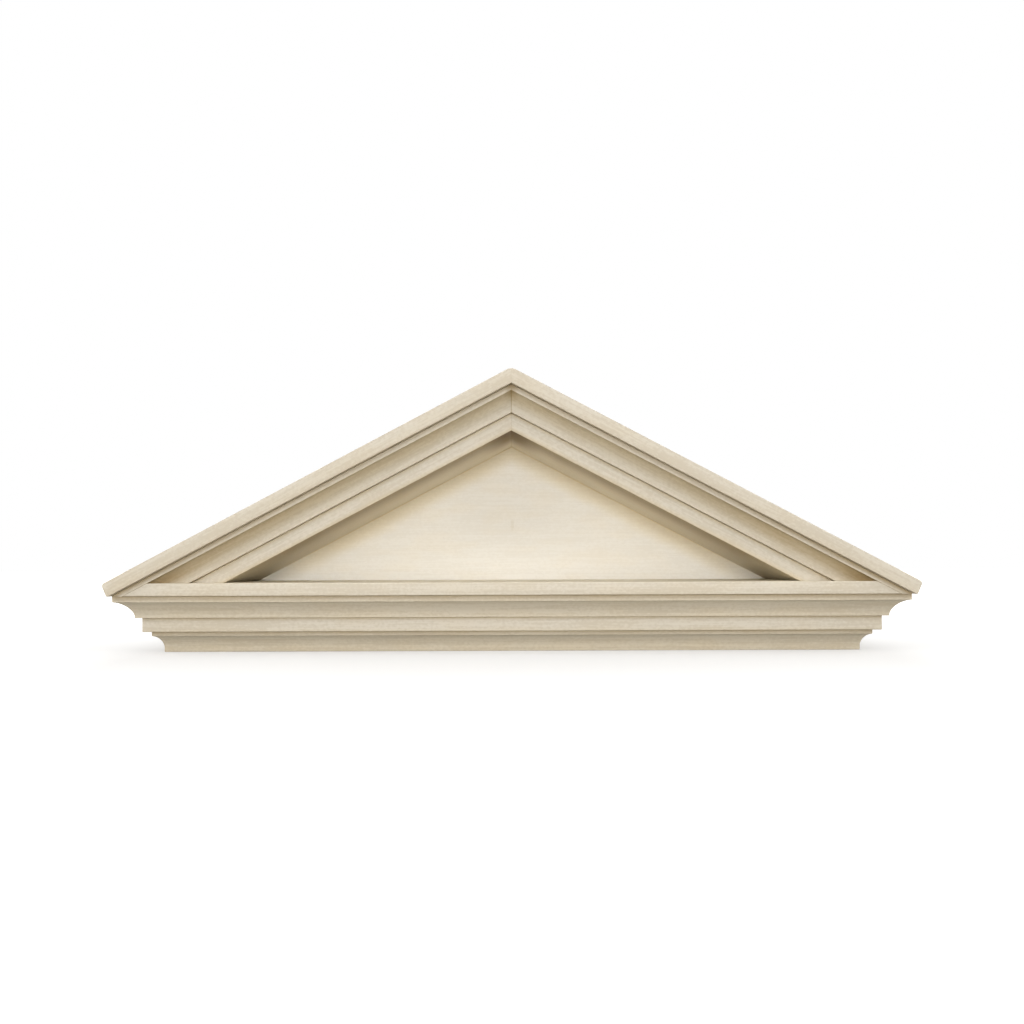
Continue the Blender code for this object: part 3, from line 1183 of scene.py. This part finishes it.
@dataclass
class Studio:
    """The white floor, the soft light and the camera."""

    camera_distance: float = 1.154
    camera_height: float = 0.1367
    lens: float = 27.25
    sensor: float = 36.0
    shift_x: float = 0.0001
    shift_y: float = 0.0511
    roll: float = math.radians(0.2)
    floor_size: float = 30.0
    floor_drop: float = 0.0004
    floor_paint: Colour = (0.61, 0.62, 0.64)
    # How the floor glows: painted light, dimmer near the pediment as a painted shadow.
    floor_near: float = 0.37
    floor_far: float = 0.70
    floor_fade: tuple[float, float] = (0.10, 1.2)
    floor_squash: float = 0.08
    floor_beside: float = 0.16
    floor_sides: tuple[float, float] = (0.54, 0.68)
    dome_front: float = 0.15
    dome_back: float = 0.50
    dome_edge: tuple[float, float] = (-0.10, 0.30)
    dome_tint: Colour = (1.0, 0.95, 0.86)
    boxes: tuple[SoftBox, ...] = (
        SoftBox("box_by_camera", 0.0, 5.5, 0.6, 0.85, 30.5, (0.99, 1.0, 1.02)),
        SoftBox("box_below_camera", 0.0, -4.0, 0.8, 0.5, 7.0, SOFT_WHITE),
        SoftBox("box_high_front", 0.0, 44.0, 4.0, 1.24, 0.28, SOFT_WHITE),
        SoftBox("box_high_left", -62.0, 36.0, 4.0, 2.1, 2.60, SOFT_WHITE),
        SoftBox("box_high_right", 62.0, 36.0, 4.0, 2.1, 2.70, SOFT_WHITE),
        SoftBox("box_low_left", -45.0, 0.0, 4.0, 1.0, 1.45, LAMP_WHITE),
        SoftBox("box_low_right", 45.0, 0.0, 4.0, 1.0, 1.05, LAMP_WHITE),
        SoftBox(
            "bounce_card", 0.0, -90.0, 1.3, 0.2, 0.42, (1.0, 0.94, 0.82), 0.25, (0.0, -0.22, 0.24)
        ),
    )

    def make(self) -> None:
        """Lay the floor, light the dome and the boxes, and set up the camera."""
        self.lay_floor()
        self.light_dome()
        for box in self.boxes:
            box.make()
        self.set_camera()

    def lay_floor(self) -> None:
        """A wide floor under the mouldings' feet whose glow is painted light, dimmer near them as
        a painted shadow.
        """
        Bench.clear()
        place = (0.0, 0.0, -self.floor_drop)
        bpy.ops.mesh.primitive_plane_add(size=self.floor_size, location=place)
        floor = bpy.context.object
        floor.name = "studio_floor"
        paints = PaintBench("studio_white")
        x, y, _ = paints.place()
        # The glow is painted light, dimmer near the pediment as a painted shadow round it and
        # brighter beside it.
        away = paints.maths("SQRT", x * x * self.floor_squash + y * y)
        glow = paints.ramp(away, *self.floor_fade) * self.floor_far + self.floor_near
        glow = paints.ramp(abs(x), *self.floor_sides) * self.floor_beside + glow
        grey = paints.node("ShaderNodeCombineColor", None, {0: glow, 1: glow, 2: glow})
        for name, value in (
            ("Base Color", self.floor_paint),
            ("Roughness", 0.9),
            ("Specular IOR Level", 0.0),
            ("Emission Color", grey.outputs[0]),
            ("Emission Strength", 1.0),
        ):
            paints.feed(paints.shader.inputs[name], value)
        floor.data.materials.append(paints.material)
        floor.visible_diffuse = False
        floor.visible_glossy = False
        floor.visible_shadow = False

    def light_dome(self) -> None:
        """A pale room: brighter behind the pediment, and plain white where it is seen."""
        world = bpy.data.worlds.new("studio_dome")
        world.use_nodes = True
        bpy.context.scene.world = world
        world.node_tree.nodes.clear()
        bench = NodeBench(world.node_tree)
        strength = bench.node(
            "ShaderNodeMapRange",
            {"interpolation_type": "SMOOTHSTEP"},
            {
                "Value": bench.place("Generated")[1],
                "From Min": self.dome_edge[0],
                "From Max": self.dome_edge[1],
                "To Min": self.dome_front,
                "To Max": self.dome_back,
            },
        )
        dome = {"Color": self.dome_tint, "Strength": strength.outputs[0]}
        white = {"Color": (1.0, 1.0, 1.0), "Strength": 1.0}
        glow, backdrop = (
            bench.node("ShaderNodeBackground", None, inputs).outputs[0] for inputs in (dome, white)
        )
        seen = bench.node("ShaderNodeLightPath").outputs["Is Camera Ray"]
        mix = bench.node("ShaderNodeMixShader", None, {0: seen, 1: glow, 2: backdrop})
        bench.node("ShaderNodeOutputWorld", None, {0: mix.outputs[0]})

    def set_camera(self) -> None:
        """A level camera close in front, as the photograph's parallel lines say."""
        data = bpy.data.cameras.new("front_camera")
        data.lens = self.lens
        data.sensor_width = self.sensor
        data.shift_x, data.shift_y = self.shift_x, self.shift_y
        camera = bpy.data.objects.new("front_camera", data)
        bpy.context.scene.collection.objects.link(camera)
        camera.location = (0.0, SIZES.front_y(-self.camera_distance), self.camera_height)
        camera.rotation_euler = (math.pi / 2, self.roll, 0.0)
        bpy.context.scene.camera = camera
        bpy.context.scene.view_settings.view_transform = "Standard"


def quirk_shade_bands(section: HollowSizes, fillet: float, foot: float) -> tuple[Band, ...]:
    """Painted shade on a moulding, strongest at the top of its fillet and at its foot."""
    foot_fades = section.fillet + section.height - 0.0060
    return Band(0.0, section.fillet, fillet), Band(section.total, foot_fades, foot)


def warm_shade_bands(section: HollowSizes, hollow: float, foot: float) -> tuple[Band, ...]:
    """Painted warm shade on a moulding, strongest at the top of its hollow.

    Args:
        section: The moulding's section.
        hollow: Strength in the upper part of the hollow.
        foot: Strength over the whole section.

    Returns:
        The bands. The last two add up to one strength at every drop.
    """
    near_foot = section.total - 0.0001
    return (
        Band(section.fillet + section.height, section.fillet, -hollow),
        Band(section.fillet, section.fillet - HOLLOW_EDGE, hollow),
        Band(section.total, near_foot, foot),
        Band(near_foot, section.total, foot),
    )


def lit_hollow_bands(section: HollowSizes, strength: float) -> tuple[Band, ...]:
    """Painted light in the upper half of a hollow, strongest near the hollow's top."""
    return (
        Band(section.fillet, section.fillet + section.height / 2, strength),
        Band(section.fillet, section.fillet + HOLLOW_EDGE, -strength),
    )


def main() -> None:
    """Dress the pediment piece by piece and set up the studio."""
    logging.basicConfig(level=logging.INFO, format="%(name)s: %(message)s")
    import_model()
    # Each piece's bands lay painted shade in its quirks, warm painted shade in its hollows and
    # painted light on its lit edges and hollows.
    base_board = BaseBoard().make()
    RakingCoves(
        SIZES.rake_cove,
        quirks=quirk_shade_bands(SIZES.rake_cove, fillet=0.52, foot=0.12),
        warm_shade=warm_shade_bands(SIZES.rake_cove, hollow=0.44, foot=0.04),
        painted_light=(Band(SIZES.rake_cove.total, SIZES.rake_cove.fillet + 0.008, 0.12),),
    ).make(base_board)
    LevelMoulding(
        SIZES.level_cove,
        name="cornice_cove",
        top=SIZES.base_bottom,
        quirks=quirk_shade_bands(SIZES.level_cove, fillet=0.60, foot=0.05),
        warm_shade=warm_shade_bands(SIZES.level_cove, hollow=0.0, foot=0.16),
        painted_light=lit_hollow_bands(SIZES.level_cove, 0.26),
    ).make()
    CoronaBoard().make()
    LevelMoulding(
        SIZES.bed,
        name="bed_mould",
        step=SIZES.bed_step,
        top=SIZES.bed.total,
        quirks=quirk_shade_bands(SIZES.bed, fillet=0.56, foot=0.12),
        warm_shade=warm_shade_bands(SIZES.bed, hollow=0.0, foot=0.24),
        painted_light=lit_hollow_bands(SIZES.bed, 0.30),
    ).make()
    RoofBoards().make()
    SoffitBoards().make()
    TympanumPanel().make()
    Studio().make()


if __name__ == "__main__":
    main()
